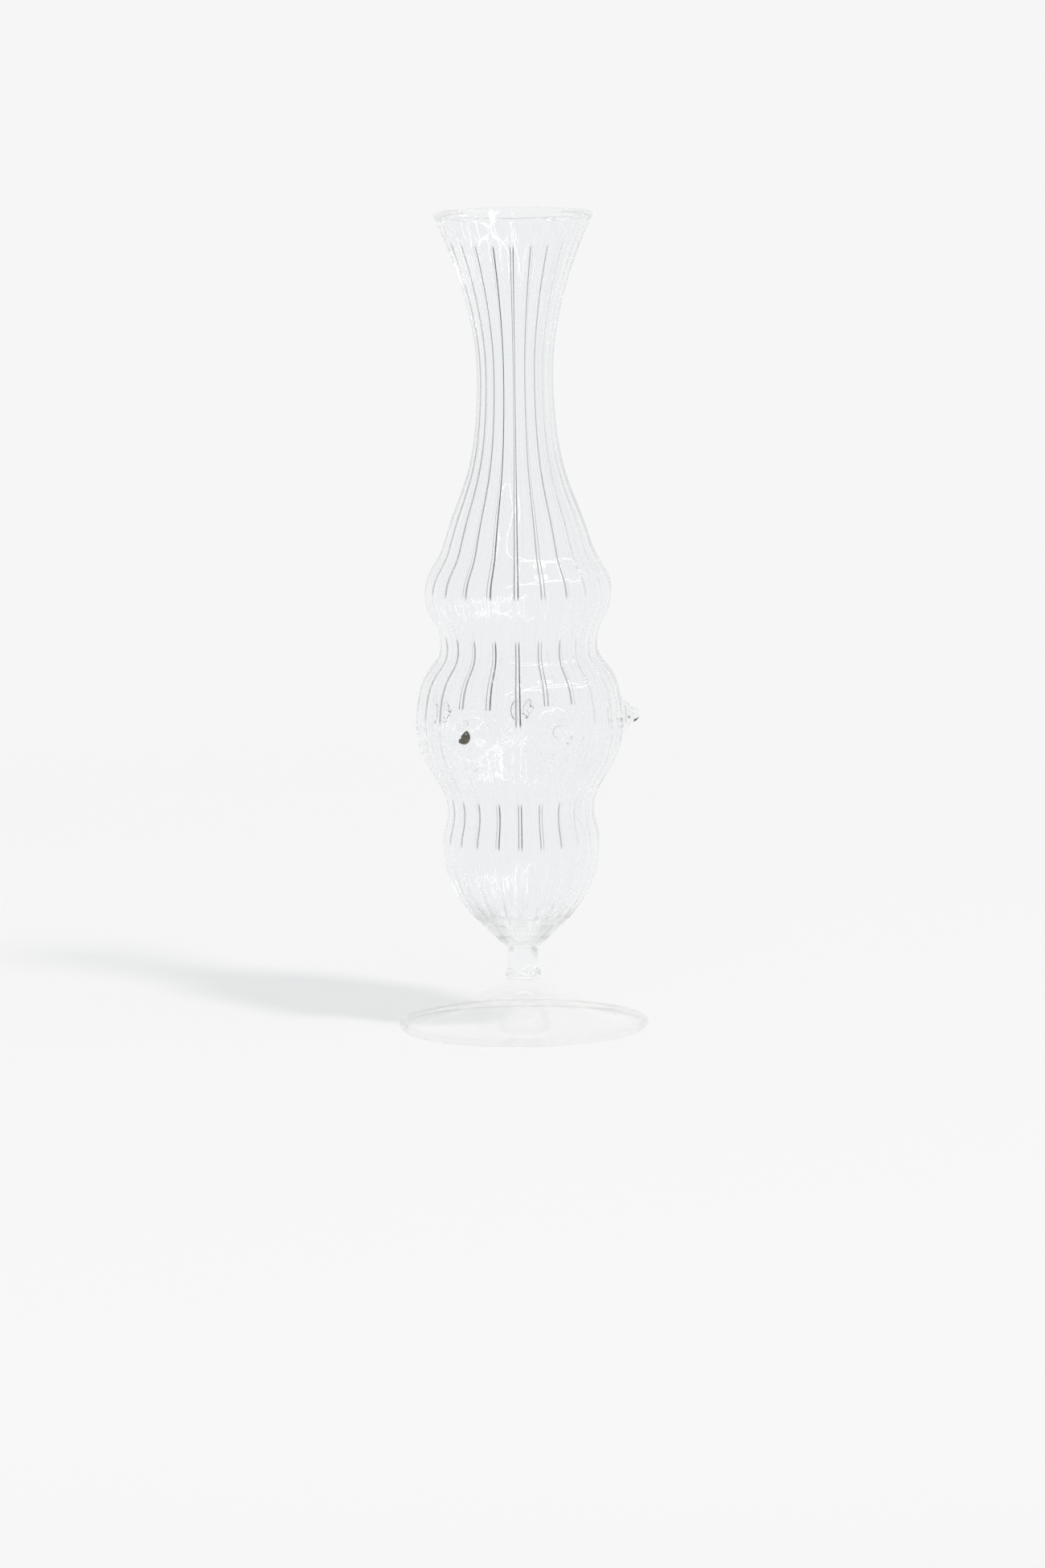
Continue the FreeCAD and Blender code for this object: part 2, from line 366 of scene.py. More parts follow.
def rows_of(profile, step_at):
    """Points of a dense profile, spaced as step_at says for each point."""
    steps = np.linalg.norm(np.diff(profile, axis=0), axis=1)
    middle = (profile[1:] + profile[:-1]) / 2
    share = np.concatenate([[0], np.cumsum(steps / step_at(middle))])
    places = np.linspace(0, share[-1], int(round(share[-1])) + 1)
    return np.stack([np.interp(places, share, profile[:, k]) for k in (0, 1)], axis=1)


def rib_centres(height):
    """Azimuths of all the ribs at these heights, each a little astray as hand-drawn ribs are."""
    rib = np.arange(RIB_COUNT)
    phase = rib * WANDER_STEP
    steady = np.sin(phase * WANDER_SPREAD + WANDER_START)
    drift = np.sin(phase + np.asarray(height, float)[..., None] * WANDER_RATE)
    astray = RIB_WANDER * (WANDER_STEADY * steady + WANDER_DRIFT * drift)
    return RIB_AZIMUTH + rib * 360 / RIB_COUNT + astray


def column_azimuths(height):
    """Azimuths of every column at each of these heights."""
    centres = rib_centres(height)
    before = np.roll(centres, 1, axis=-1)
    before[..., 0] -= 360
    after = np.roll(centres, -1, axis=-1)
    after[..., -1] += 360
    share = RIB_SHARES
    gap = np.where(share > 0, (after - centres)[..., None], (centres - before)[..., None])
    return (centres[..., None] + share * gap).reshape(*np.shape(height), COLUMNS)


def share_at(azimuth, height):
    """Where azimuths lie between their nearest rib and the next, -0.5 to 0.5."""
    centres = rib_centres(height)
    centres = np.concatenate([centres[:, -1:] - 360, centres, centres[:, :1] + 360], axis=1)
    wrapped = (azimuth - centres[:, 1]) % 360 + centres[:, 1]
    index = np.clip((centres <= wrapped[:, None]).sum(axis=1) - 1, 0, RIB_COUNT)
    line = np.arange(len(wrapped))
    low, high = centres[line, index], centres[line, index + 1]
    turn = (wrapped - low) / (high - low)
    return np.where(turn > 0.5, turn - 1, turn)


def rib_shape(share):
    """Height of a rib, 0 to 1: a narrow ridge on the meeting edge of two shallow panels."""
    ridge = np.exp(-(share / RIDGE_WIDTH) ** RIDGE_POWER)
    panel = (1 - 2 * np.abs(share)) ** 2
    return RIDGE_SHARE * ridge + (1 - RIDGE_SHARE) * panel


def painted_rib_shade(share, azimuth, height):
    """How dark the painted shade on the two sides of a rib is, within the heights where it shows and clear
    of the points.

    The painted shade is darker at the front and back than at the right and left."""
    across = np.abs(share)
    line = ((across > LINE_FROM) & (across < LINE_TO)).astype(float)
    zone = np.zeros(np.shape(height))
    for low, high in LINE_ZONES:
        zone = np.maximum(zone, np.clip(np.minimum(height - low, high - height) / LINE_END, 0, 1))
    wave = np.sin(LINE_UNEVEN_RATE * azimuth + LINE_SIDE_SHIFT * np.sign(share))
    uneven = LINE_EVEN + LINE_UNEVEN * wave
    sharp = np.abs(np.cos(np.radians(azimuth - LINE_SHARPEST)))
    sharp = np.clip((sharp - LINE_FADE_FROM) / LINE_FADE_SPAN, LINE_FAINTEST, 1)
    clear = np.clip(clear_of_points(azimuth, height) * LINE_CLEARANCE, 0, 1)
    return line * zone * uneven * sharp * clear


def clear_of_points(azimuth, height):
    """0 on the pulled points, where the glass has been melted smooth, rising to 1 away from them."""
    clear = 1.0
    for point, above in POINTS.values():
        turn = (azimuth - point + 180) % 360 - 180
        away = np.hypot(np.radians(turn) * BELLY_RADIUS, height - BELLY_HEIGHT - above)
        share = np.clip((away - POINT_STILL) / POINT_CALM, 0, 1)
        clear = clear * share * share * (3 - 2 * share)
    return clear


def rib_fade(height):
    tail = (height - STEM_TOP - RIB_TAIL_START) / RIB_TAIL_FADE
    lip = (placed_rings()[-2][1] - height) / RIB_LIP_FADE
    low = np.clip(np.minimum(tail, lip), 0, 1)
    return low * low * (3 - 2 * low)


def cone_curve():
    """A pulled point's side as (distance from its axis, distance from the vase's axis)."""
    return span((POINT_BASE_RADIUS, BELLY_RADIUS - POINT_BASE_SINK), POINT_BASE_LEAN, POINT_PULL,
                (POINT_TIP_RADIUS, BELLY_RADIUS + POINT_LENGTH), POINT_TIP_LEAN, POINT_PULL,
                POINT_CURVE_STEPS)


def hollow_curve():
    """The side of the hollow inside a pulled point."""
    return span((POINT_BASE_RADIUS - POINT_WALL, BELLY_RADIUS - POINT_BASE_SINK - POINT_WALL),
                POINT_BASE_LEAN, POINT_PULL,
                (0.0, BELLY_RADIUS + POINT_LENGTH - POINT_WALL), POINT_TIP_LEAN, POINT_PULL,
                POINT_CURVE_STEPS)


def point_rise(distance, curve):
    return np.interp(distance, curve[::-1, 0], curve[::-1, 1])


def hollow_rise(distance, curve):
    """As point_rise, with a round end."""
    dome = BELLY_RADIUS + POINT_LENGTH - POINT_WALL - HOLLOW_END - HOLLOW_ROUND * distance ** 2
    return np.minimum(point_rise(distance, curve), dome)


def smooth_top(first, second, blend):
    """The larger of two heights, with the crossing rounded."""
    h = np.clip(0.5 + 0.5 * (first - second) / blend, 0, 1)
    return second + (first - second) * h + blend * h * (1 - h)


def axes_of(azimuth):
    """The outward and sideways directions at an azimuth."""
    a = math.radians(azimuth)
    return np.array([math.sin(a), -math.cos(a)]), np.array([math.cos(a), math.sin(a)])


class Sheet:
    """Vertices and faces as they are collected."""

    def __init__(self):
        self.points, self.lines, self.faces, self.joint_faces = [], [], [], []

    def add(self, points, line=0.0):
        start = sum(len(p) for p in self.points)
        points = np.asarray(points, float).reshape(-1, 3)
        self.points.append(points)
        self.lines.append(np.broadcast_to(np.ravel(line), len(points)).astype(float))
        return start


def ribbed_grid(rows, ribbed):
    """Grid of points rows by COLUMNS for a wall of the vessel, and how dark the painted shade is at each
    one.
    """
    radius, height = rows[:, :1], rows[:, 1:]
    azimuth = column_azimuths(rows[:, 1])
    share = np.tile(RIB_SHARES, RIB_COUNT)
    if ribbed:
        lift = RIB_HEIGHT * rib_shape(share) * rib_fade(height)
        radius = radius + lift * clear_of_points(azimuth, height)
        line = painted_rib_shade(share, azimuth, height)
    else:
        line = np.zeros(azimuth.shape)
    angle = np.radians(azimuth)
    grid = np.stack([radius * np.sin(angle), -radius * np.cos(angle), height + 0 * angle], axis=2)
    return grid, line


def patch_window(rows, grid, azimuth, height):
    """First and last row and column of the grid's part that a point's patch takes over."""
    belly = np.flatnonzero(np.abs(rows[:, 1] - height) < POINT_REACH)
    middle = (belly[0] + belly[-1]) // 2
    outward, sideways = axes_of(azimuth)
    flat = grid[middle, :, :2]
    near = np.flatnonzero((np.abs(flat @ sideways) < POINT_REACH) & (flat @ outward > 0))
    if near[-1] - near[0] > COLUMNS / 2:
        near = np.concatenate([near[near > COLUMNS / 2] - COLUMNS, near[near < COLUMNS / 2]])
    return belly[0], belly[-1], near[0], near[-1]


def lifted(points, azimuth, height, rise, curve):
    """Raises points of a wall into a pulled point where that stands out further."""
    outward, sideways = axes_of(azimuth)
    across = points[..., :2] @ sideways
    out = points[..., :2] @ outward
    distance = np.hypot(across, points[..., 2] - height)
    reach = np.where(distance < POINT_REACH * POINT_MARGIN, rise(distance, curve), FAR_INSIDE)
    tall = np.where(out > 0, smooth_top(reach, out, POINT_BLEND), out)
    moved = points.copy()
    moved[..., :2] = across[..., None] * sideways + tall[..., None] * outward
    return moved


def wall_with_points(sheet, rows, ribbed, curve, rise, tip_radius, circles, ring_steps):
    """One wall of the vessel with its pulled points. Returns the grid's vertex numbers.

    A patch of rings takes over from the grid at each point and runs in to a circle of the tip's
    radius, and on through the smaller circles, which are (radius, darkness of the painted shade on it)."""
    grid, line = ribbed_grid(rows, ribbed)
    flip = not ribbed
    for azimuth, above in POINTS.values():
        grid = lifted(grid, azimuth, BELLY_HEIGHT + above, rise, curve)
    start = sheet.add(grid, line)
    numbers = start + np.arange(len(rows) * COLUMNS).reshape(len(rows), COLUMNS)
    taken = np.zeros((len(rows) - 1, COLUMNS), bool)
    for azimuth, above in POINTS.values():
        height = BELLY_HEIGHT + above
        low, high, left, right = patch_window(rows, grid, azimuth, height)
        columns = np.arange(left, right + 1)
        for i in range(low, high):
            taken[i, columns[:-1] % COLUMNS] = True
        loop = ([(low, c) for c in columns[:-1]] + [(r, right) for r in range(low, high)]
                + [(high, c) for c in columns[:0:-1]] + [(r, left) for r in range(high, low, -1)])
        loop = [(r, c % COLUMNS) for r, c in loop]
        outward, sideways = axes_of(azimuth)
        edge = np.array([grid[r, c] for r, c in loop])
        edge_across = edge[:, :2] @ sideways
        edge_up = edge[:, 2] - height
        turn = np.arctan2(edge_up, edge_across)
        rings = [(1 - step / ring_steps, tip_radius * step / ring_steps, 0.0)
                 for step in range(1, ring_steps + 1)]
        rings += [(0.0, radius, dark) for radius, dark in circles]
        last = np.array([numbers[r, c] for r, c in loop])
        for keep, radius, dark in rings:
            across = edge_across * keep + radius * np.cos(turn)
            up = edge_up * keep + radius * np.sin(turn)
            tall = wall_out(across, height + up, azimuth, rows, ribbed)
            tall = smooth_top(rise(np.hypot(across, up), curve), tall, POINT_BLEND)
            if keep == 0.0 and ribbed:
                tall = np.full_like(tall, BELLY_RADIUS + POINT_LENGTH)
            ring = np.stack([across * sideways[0] + tall * outward[0],
                             across * sideways[1] + tall * outward[1], height + up], axis=1)
            following = sheet.add(ring, dark) + np.arange(len(loop))
            strip(sheet, last, following, flip)
            last = following
        centre = sheet.add([[*(tall.max() * outward), height]])
        fan(sheet, last, centre, flip, joint=ribbed)
    for i in range(len(rows) - 1):
        for j in np.flatnonzero(~taken[i]):
            k = (j + 1) % COLUMNS
            face = (numbers[i, j], numbers[i, k], numbers[i + 1, k], numbers[i + 1, j])
            sheet.faces.append(face[::-1] if flip else face)
    return numbers


def wall_out(across, height, azimuth, rows, ribbed):
    """How far out the plain wall lies, seen from a pulled point's axis."""
    near = np.abs(rows[:, 1] - BELLY_HEIGHT) < WALL_WINDOW
    radius = np.interp(height, rows[near, 1], rows[near, 0])
    if ribbed:
        here = azimuth + np.degrees(np.arcsin(np.clip(across / radius, -1, 1)))
        lift = RIB_HEIGHT * rib_shape(share_at(here, height)) * rib_fade(height)
        radius = radius + lift * clear_of_points(here, height)
    return np.sqrt(radius ** 2 - across ** 2)


def strip(sheet, outer, inner, flip):
    count = len(outer)
    for k in range(count):
        n = (k + 1) % count
        face = (outer[k], outer[n], inner[n], inner[k])
        sheet.faces.append(face[::-1] if flip else face)


def fan(sheet, loop, centre, flip, joint=False):
    count = len(loop)
    for k in range(count):
        n = (k + 1) % count
        face = (loop[k], loop[n], centre)
        if joint:
            sheet.joint_faces.append(len(sheet.faces))
        sheet.faces.append(face[::-1] if flip else face)


def make_object(name, points, lines, faces, joint_faces, materials):
    """A mesh object with smooth faces, and flat ones of the second material where pieces are fused."""
    mesh = bpy.data.meshes.new(name)
    mesh.from_pydata((np.asarray(points) * MM).tolist(), [], [list(map(int, face)) for face in faces])
    for material in materials:
        mesh.materials.append(material)
    joints = set(joint_faces)
    mesh.polygons.foreach_set("use_smooth", [True] * len(mesh.polygons))
    flags = [JOINT_SLOT if i in joints else BODY_SLOT for i in range(len(faces))]
    mesh.polygons.foreach_set("material_index", flags)
    # The "line" attribute holds how dark the painted shade is at each vertex.
    if np.any(lines):
        dark = mesh.attributes.new("line", "FLOAT", "POINT")
        dark.data.foreach_set("value", np.asarray(lines, np.float32))
    mesh.update()
    if joints:
        owner = {}
        for polygon in mesh.polygons:
            for key in polygon.edge_keys:
                owner.setdefault(key, []).append(flags[polygon.index])
        for edge in mesh.edges:
            sides = owner[tuple(sorted(edge.vertices))]
            edge.use_edge_sharp = len(set(sides)) > 1
    thing = bpy.data.objects.new(name, mesh)
    bpy.context.scene.collection.objects.link(thing)
    return thing


def row_steps(height, plain, belly, lip):
    """Distance between rows at these heights, finer round the belly and above the height of the lip."""
    step = np.full(len(height), plain)
    step = np.where(np.abs(height - BELLY_HEIGHT - BELLY_ROWS_ABOVE) < BELLY_ROWS_HALF, belly, step)
    return np.where(height > lip, FINE_ROW_STEP, step)


def vessel(materials):
    outside = outside_profile()
    inside = inside_profile()
    top = outside[-1, 1]

    def outer_step(p):
        step = row_steps(p[:, 1], ROW_STEP, BELLY_ROW_STEP, top - LIP_ROWS)
        return np.where(p[:, 1] < STEM_TOP + TAIL_ROWS, TAIL_ROW_STEP, step)

    def inner_step(p):
        step = row_steps(p[:, 1], INNER_ROW_STEP, INNER_BELLY_ROW_STEP, top - INNER_LIP_ROWS)
        return np.where(p[:, 0] < FLOOR_ROWS, FLOOR_ROW_STEP, step)

    sheet = Sheet()
    outer = wall_with_points(sheet, rows_of(outside, outer_step), True, cone_curve(), point_rise,
                             POINT_TIP_RADIUS, [], PATCH_RINGS)
    inner_rows = rows_of(inside, inner_step)[1:]
    # The ring of painted shade round the end of each point's hollow.
    ring = [(RING_RADIUS + RING_WIDTH / 2, 1.0), (RING_RADIUS - RING_WIDTH / 2, 1.0),
            (RING_RADIUS - RING_WIDTH, 0.0)]
    end = [(radius, 0.0) for radius in HOLLOW_CIRCLES]
    inner = wall_with_points(sheet, inner_rows, False, hollow_curve(), hollow_rise,
                             RING_RADIUS + RING_WIDTH, ring + end, HOLLOW_PATCH_RINGS)
    for j in range(COLUMNS):
        k = (j + 1) % COLUMNS
        sheet.faces.append((outer[-1, j], outer[-1, k], inner[-1, k], inner[-1, j]))
    seat = sheet.add([[0, 0, STEM_TOP]])
    fan(sheet, outer[0], seat, True, joint=True)
    floor = sheet.add([[0, 0, STEM_TOP + FLOOR_THICKNESS]])
    fan(sheet, inner[0], floor, False)
    points, lines = np.concatenate(sheet.points), np.concatenate(sheet.lines)
    points, lines, faces = without_loose(points, lines, sheet.faces)
    return make_object("ribbed_vessel", points, lines, faces, sheet.joint_faces, materials)


def without_loose(points, lines, faces):
    """Drops the points that no face uses."""
    used = np.zeros(len(points), bool)
    used[np.concatenate([np.array(face, int) for face in faces])] = True
    new = np.cumsum(used) - 1
    return points[used], lines[used], [tuple(new[list(face)]) for face in faces]


def turned(name, profile, materials, joint_ends):
    """A piece turned about Z from a profile that starts and ends at radius 0.

    The first and last faces are fused joints where joint_ends says so."""
    sheet = Sheet()
    angle = np.linspace(0, 2 * math.pi, ROUND_STEPS, endpoint=False)
    loops = []
    for radius, height in profile[1:-1]:
        level = np.full(ROUND_STEPS, height)
        ring = np.stack([radius * np.sin(angle), -radius * np.cos(angle), level], axis=1)
        loops.append(sheet.add(ring) + np.arange(ROUND_STEPS))
    for low, high in zip(loops, loops[1:]):
        strip(sheet, low, high, False)
    first = sheet.add([[0, 0, profile[0][1]]])
    fan(sheet, loops[0], first, True, joint=joint_ends[0])
    last = sheet.add([[0, 0, profile[-1][1]]])
    fan(sheet, loops[-1], last, False, joint=joint_ends[1])
    points = np.concatenate(sheet.points)
    return make_object(name, points, [], sheet.faces, sheet.joint_faces, materials)


def rounded_disc(bottom, top, radius, joint_radius):
    """Profile of a solid round with bulging sides and a flat joint at each end."""
    middle = (bottom + top) / 2
    reach = math.hypot(radius - joint_radius, middle - bottom)
    across = ROUND_PULL * (radius - joint_radius) / reach
    upright = ROUND_PULL * (middle - bottom) / reach
    side = (radius, middle)
    sides = joined([
        span((joint_radius, bottom), JOINT_LEAN, across, side, 0.0, upright, ROUND_CURVE_STEPS),
        span(side, 0.0, upright, (joint_radius, top), -JOINT_LEAN, across, ROUND_CURVE_STEPS),
    ])
    return np.concatenate([[[0, bottom]], sides, [[0, top]]])


def foot_profile():
    """The foot from the middle of its underside round the rim to the middle of its top."""
    joint = (COLLAR_RADIUS - JOINT_INSET, FOOT_TOP)
    shoulder = (FOOT_SHOULDER[0], FOOT_TOP - FOOT_SHOULDER[1])
    half = FOOT_RIM_THICKNESS / 2
    brim = (FOOT_RADIUS - half, FOOT_RIM_THICKNESS)
    nose = (FOOT_RADIUS, half)
    rest = (brim[0], 0.0)
    heel = (rest[0] - FOOT_REST_WIDTH, 0.0)
    slope, brim_slope = 90 + FOOT_SLOPE, 90 + FOOT_BRIM_SLOPE
    dome = span(shoulder, slope, FOOT_DOME_PULLS[0], brim, brim_slope, FOOT_DOME_PULLS[1], FOOT_DOME_STEPS)
    tangent = np.gradient(dome, axis=0)
    tangent /= np.linalg.norm(tangent, axis=1)[:, None]
    below = dome + np.stack([tangent[:, 1], -tangent[:, 0]], axis=1) * FOOT_WALL
    marks = below[FOOT_KNOT_STEP:FOOT_DOME_STEPS:FOOT_KNOT_STEP]
    knots = np.concatenate([[[0.0, FOOT_TOP - FOOT_CROWN_THICKNESS]], marks, [heel]])
    underside = through(knots, UNDERSIDE_POINTS)
    outside = joined([
        span(joint, FOOT_NECK_LEAN, FOOT_NECK_PULLS[0],
             shoulder, slope, FOOT_NECK_PULLS[1], FOOT_NECK_STEPS),
        dome,
        span(brim, brim_slope, FOOT_RIM_PULL, nose, DOWN, FOOT_RIM_PULL, ROUND_CURVE_STEPS),
        span(nose, DOWN, FOOT_RIM_PULL, rest, INWARDS, FOOT_RIM_PULL, ROUND_CURVE_STEPS),
    ])
    ring = np.concatenate([underside, np.array([rest]), outside[::-1][1:]])
    return np.concatenate([ring, [[0, FOOT_TOP]]])


def drop_profile():
    """A cap of a ball, from its flat joint to its crown."""
    radius = (POINT_TIP_RADIUS ** 2 + DROP_HEIGHT ** 2) / (2 * DROP_HEIGHT)
    sunk = radius - DROP_HEIGHT
    turn = np.linspace(math.asin(sunk / radius), math.pi / 2, DROP_STEPS)
    cap = np.stack([radius * np.cos(turn), radius * np.sin(turn) - sunk], axis=1)
    return np.concatenate([[[0, 0]], cap])


def drop(point, azimuth, above, materials):
    """The solid drop on the end of a pulled point, with the point's side of painted shade if it has one.
    """
    thing = turned("drop_" + point, drop_profile(), materials, (True, False))
    middle, half, inner = PAINTED_SHADE_SIDE.get(point, (0.0, 0.0, 0.0))
    for polygon in thing.data.polygons:
        across, up = polygon.center.x / MM, polygon.center.y / MM
        turn = (math.degrees(math.atan2(up, across)) - middle + 180) % 360 - 180
        if abs(turn) < half and math.hypot(across, up) > inner and polygon.material_index == BODY_SLOT:
            polygon.material_index = PAINTED_SHADE_SLOT
    place = (Matrix.Translation((0, 0, (BELLY_HEIGHT + above) * MM))
             @ Matrix.Rotation(math.radians(azimuth), 4, "Z")
             @ Matrix.Rotation(math.radians(90), 4, "X")
             @ Matrix.Translation((0, 0, (BELLY_RADIUS + POINT_LENGTH) * MM)))
    thing.data.transform(place)
    return thing


def nodes_of(name):
    material = bpy.data.materials.new(name)
    material.use_nodes = True
    tree = material.node_tree
    tree.nodes.clear()
    return material, tree


def link(tree, source, target):
    tree.links.new(source, target)


def band(tree, place, low, high, amount):
    """The amount where a height or radius lies between two values, and 0 outside them, with soft ends."""
    rise = tree.nodes.new("ShaderNodeMapRange")
    rise.inputs["From Min"].default_value = (low - BAND_END) * MM
    rise.inputs["From Max"].default_value = low * MM
    fall = tree.nodes.new("ShaderNodeMapRange")
    fall.inputs["From Min"].default_value = (high + BAND_END) * MM
    fall.inputs["From Max"].default_value = high * MM
    fall.inputs["To Max"].default_value = amount
    both = tree.nodes.new("ShaderNodeMath")
    both.operation = "MULTIPLY"
    link(tree, place, rise.inputs["Value"])
    link(tree, place, fall.inputs["Value"])
    link(tree, rise.outputs["Result"], both.inputs[0])
    link(tree, fall.outputs["Result"], both.inputs[1])
    return both.outputs["Value"]


def softened(tree, place, surface, bands):
    """Mixes the glass with plain transparency in bands of height or radius."""
    split = tree.nodes.new("ShaderNodeSeparateXYZ")
    level = tree.nodes.new("ShaderNodeVectorMath")
    level.operation = "MULTIPLY"
    level.inputs[1].default_value = (1.0, 1.0, 0.0)
    radius = tree.nodes.new("ShaderNodeVectorMath")
    radius.operation = "LENGTH"
    link(tree, place, split.inputs["Vector"])
    link(tree, place, level.inputs[0])
    link(tree, level.outputs["Vector"], radius.inputs[0])
    measures = {"height": split.outputs["Z"], "radius": radius.outputs["Value"]}
    for measure, low, high, amount, tint in bands:
        thin = tree.nodes.new("ShaderNodeBsdfTransparent")
        thin.inputs["Color"].default_value = (*tint, 1)
        share = band(tree, measures[measure], low, high, amount)
        surface = chosen(tree, share, surface, thin.outputs["BSDF"])
    return surface


def glass(name, pale, deep, wave_scale, wave_depth, shade, bands=(), cloud_scale=CLOUD_SCALE):
    """Glass with a faint drift of tint, the slight waves of hand-worked glass and, on the outer side
    only, the dark lines of painted shade that the mesh stores.

    Shadow rays take the tint of the shade and diffuse rays pass unchanged."""
    material, tree = nodes_of(name)
    new = tree.nodes.new
    out = new("ShaderNodeOutputMaterial")
    lit = new("ShaderNodeMixShader")
    mix = new("ShaderNodeMixShader")
    path = new("ShaderNodeLightPath")
    clear = new("ShaderNodeBsdfTransparent")
    clear.inputs["Color"].default_value = (*shade, 1)
    passed_on = new("ShaderNodeBsdfTransparent")
    body = new("ShaderNodeBsdfPrincipled")
    body.inputs["Transmission Weight"].default_value = 1.0
    body.inputs["IOR"].default_value = REFRACTION
    place = new("ShaderNodeTexCoord")
    cloud = new("ShaderNodeTexNoise")
    cloud.inputs["Scale"].default_value = cloud_scale
    cloud.inputs["Detail"].default_value = CLOUD_DETAIL
    tint = new("ShaderNodeMix")
    tint.data_type = "RGBA"
    tint.inputs["A"].default_value = (*pale, 1)
    tint.inputs["B"].default_value = (*deep, 1)
    haze = new("ShaderNodeMapRange")
    haze.inputs["From Min"].default_value = HAZE_FROM
    haze.inputs["From Max"].default_value = HAZE_FULL
    haze.inputs["To Min"].default_value = 0.0
    haze.inputs["To Max"].default_value = HAZE_ROUGHNESS
    stretch = new("ShaderNodeMapping")
    stretch.inputs["Scale"].default_value = WAVE_STRETCH
    wave = new("ShaderNodeTexNoise")
    wave.inputs["Scale"].default_value = wave_scale
    wave.inputs["Detail"].default_value = WAVE_DETAIL
    bump = new("ShaderNodeBump")
    bump.inputs["Strength"].default_value = WAVE_STRENGTH
    bump.inputs["Distance"].default_value = wave_depth * MM
    # Painted shade: the mesh's "line" attribute darkens the tint, on the outer side only.
    dark = new("ShaderNodeAttribute")
    dark.attribute_name = "line"
    side = new("ShaderNodeNewGeometry")
    near = new("ShaderNodeMath")
    near.operation = "SUBTRACT"
    near.use_clamp = True
    painted_shade = new("ShaderNodeMix")
    painted_shade.data_type = "RGBA"
    painted_shade.inputs["B"].default_value = (*PAINTED_SHADE_COLOUR, 1)
    link(tree, place.outputs["Object"], cloud.inputs["Vector"])
    link(tree, place.outputs["Object"], stretch.inputs["Vector"])
    link(tree, stretch.outputs["Vector"], wave.inputs["Vector"])
    link(tree, cloud.outputs["Fac"], tint.inputs["Factor"])
    link(tree, dark.outputs["Fac"], near.inputs[0])
    link(tree, side.outputs["Backfacing"], near.inputs[1])
    link(tree, near.outputs["Value"], painted_shade.inputs["Factor"])
    link(tree, tint.outputs["Result"], painted_shade.inputs["A"])
    link(tree, painted_shade.outputs["Result"], body.inputs["Base Color"])
    link(tree, cloud.outputs["Fac"], haze.inputs["Value"])
    link(tree, haze.outputs["Result"], body.inputs["Roughness"])
    link(tree, wave.outputs["Fac"], bump.inputs["Height"])
    link(tree, bump.outputs["Normal"], body.inputs["Normal"])
    link(tree, path.outputs["Is Diffuse Ray"], lit.inputs[0])
    link(tree, softened(tree, place.outputs["Object"], body.outputs["BSDF"], bands), lit.inputs[1])
    link(tree, passed_on.outputs["BSDF"], lit.inputs[2])
    link(tree, path.outputs["Is Shadow Ray"], mix.inputs[0])
    link(tree, lit.outputs["Shader"], mix.inputs[1])
    link(tree, clear.outputs["BSDF"], mix.inputs[2])
    link(tree, mix.outputs["Shader"], out.inputs["Surface"])
    return material


def fused_joint():
    """Where two pieces of hot glass have run together there is no surface to see."""
    material, tree = nodes_of("fused_joint")
    out = tree.nodes.new("ShaderNodeOutputMaterial")
    clear = tree.nodes.new("ShaderNodeBsdfTransparent")
    link(tree, clear.outputs["BSDF"], out.inputs["Surface"])
    return material


def floor_material():
    """A pale plain table top that fades out towards the rim of the disc."""
    material, tree = nodes_of("table_top")
    new = tree.nodes.new
    out = new("ShaderNodeOutputMaterial")
    surface = new("ShaderNodeBsdfDiffuse")
    surface.inputs["Color"].default_value = (FLOOR_COLOUR, FLOOR_COLOUR, FLOOR_COLOUR, 1)
    clear = new("ShaderNodeBsdfTransparent")
    mix = new("ShaderNodeMixShader")
    place = new("ShaderNodeTexCoord")
    length = new("ShaderNodeVectorMath")
    length.operation = "LENGTH"
    fade = new("ShaderNodeMapRange")
    fade.interpolation_type = "SMOOTHSTEP"
    fade.inputs["From Min"].default_value = FLOOR_RADIUS * FLOOR_FADE[0]
    fade.inputs["From Max"].default_value = FLOOR_RADIUS * FLOOR_FADE[1]
    link(tree, place.outputs["Object"], length.inputs[0])
    link(tree, length.outputs["Value"], fade.inputs["Value"])
    link(tree, fade.outputs["Result"], mix.inputs[0])
    link(tree, surface.outputs["BSDF"], mix.inputs[1])
    link(tree, clear.outputs["BSDF"], mix.inputs[2])
    link(tree, mix.outputs["Shader"], out.inputs["Surface"])
    return material


def floor():
    mesh = bpy.data.meshes.new("table_top")
    turns = [2 * math.pi * k / FLOOR_STEPS for k in range(FLOOR_STEPS)]
    ring = [(FLOOR_RADIUS * math.cos(turn), FLOOR_RADIUS * math.sin(turn), 0) for turn in turns]
    mesh.from_pydata(ring, [], [list(range(FLOOR_STEPS))])
    mesh.materials.append(floor_material())
    disc = bpy.data.objects.new("table_top", mesh)
    disc.location.z = -FLOOR_SINK
    bpy.context.scene.collection.objects.link(disc)


def shaded_by_height(tree, height, low, high, overhead):
    """A light that goes from the background's level to another as the direction rises."""
    shade = tree.nodes.new("ShaderNodeMapRange")
    shade.interpolation_type = "SMOOTHSTEP"
    shade.inputs["From Min"].default_value = low
    shade.inputs["From Max"].default_value = high
    shade.inputs["To Min"].default_value = BACKGROUND
    shade.inputs["To Max"].default_value = overhead
    link(tree, height, shade.inputs["Value"])
    return background(tree, shade.outputs["Result"])


def background(tree, strength):
    light = tree.nodes.new("ShaderNodeBackground")
    light.inputs["Color"].default_value = (1, 1, 1, 1)
    if isinstance(strength, float):
        light.inputs["Strength"].default_value = strength
    else:
        link(tree, strength, light.inputs["Strength"])
    return light.outputs["Background"]


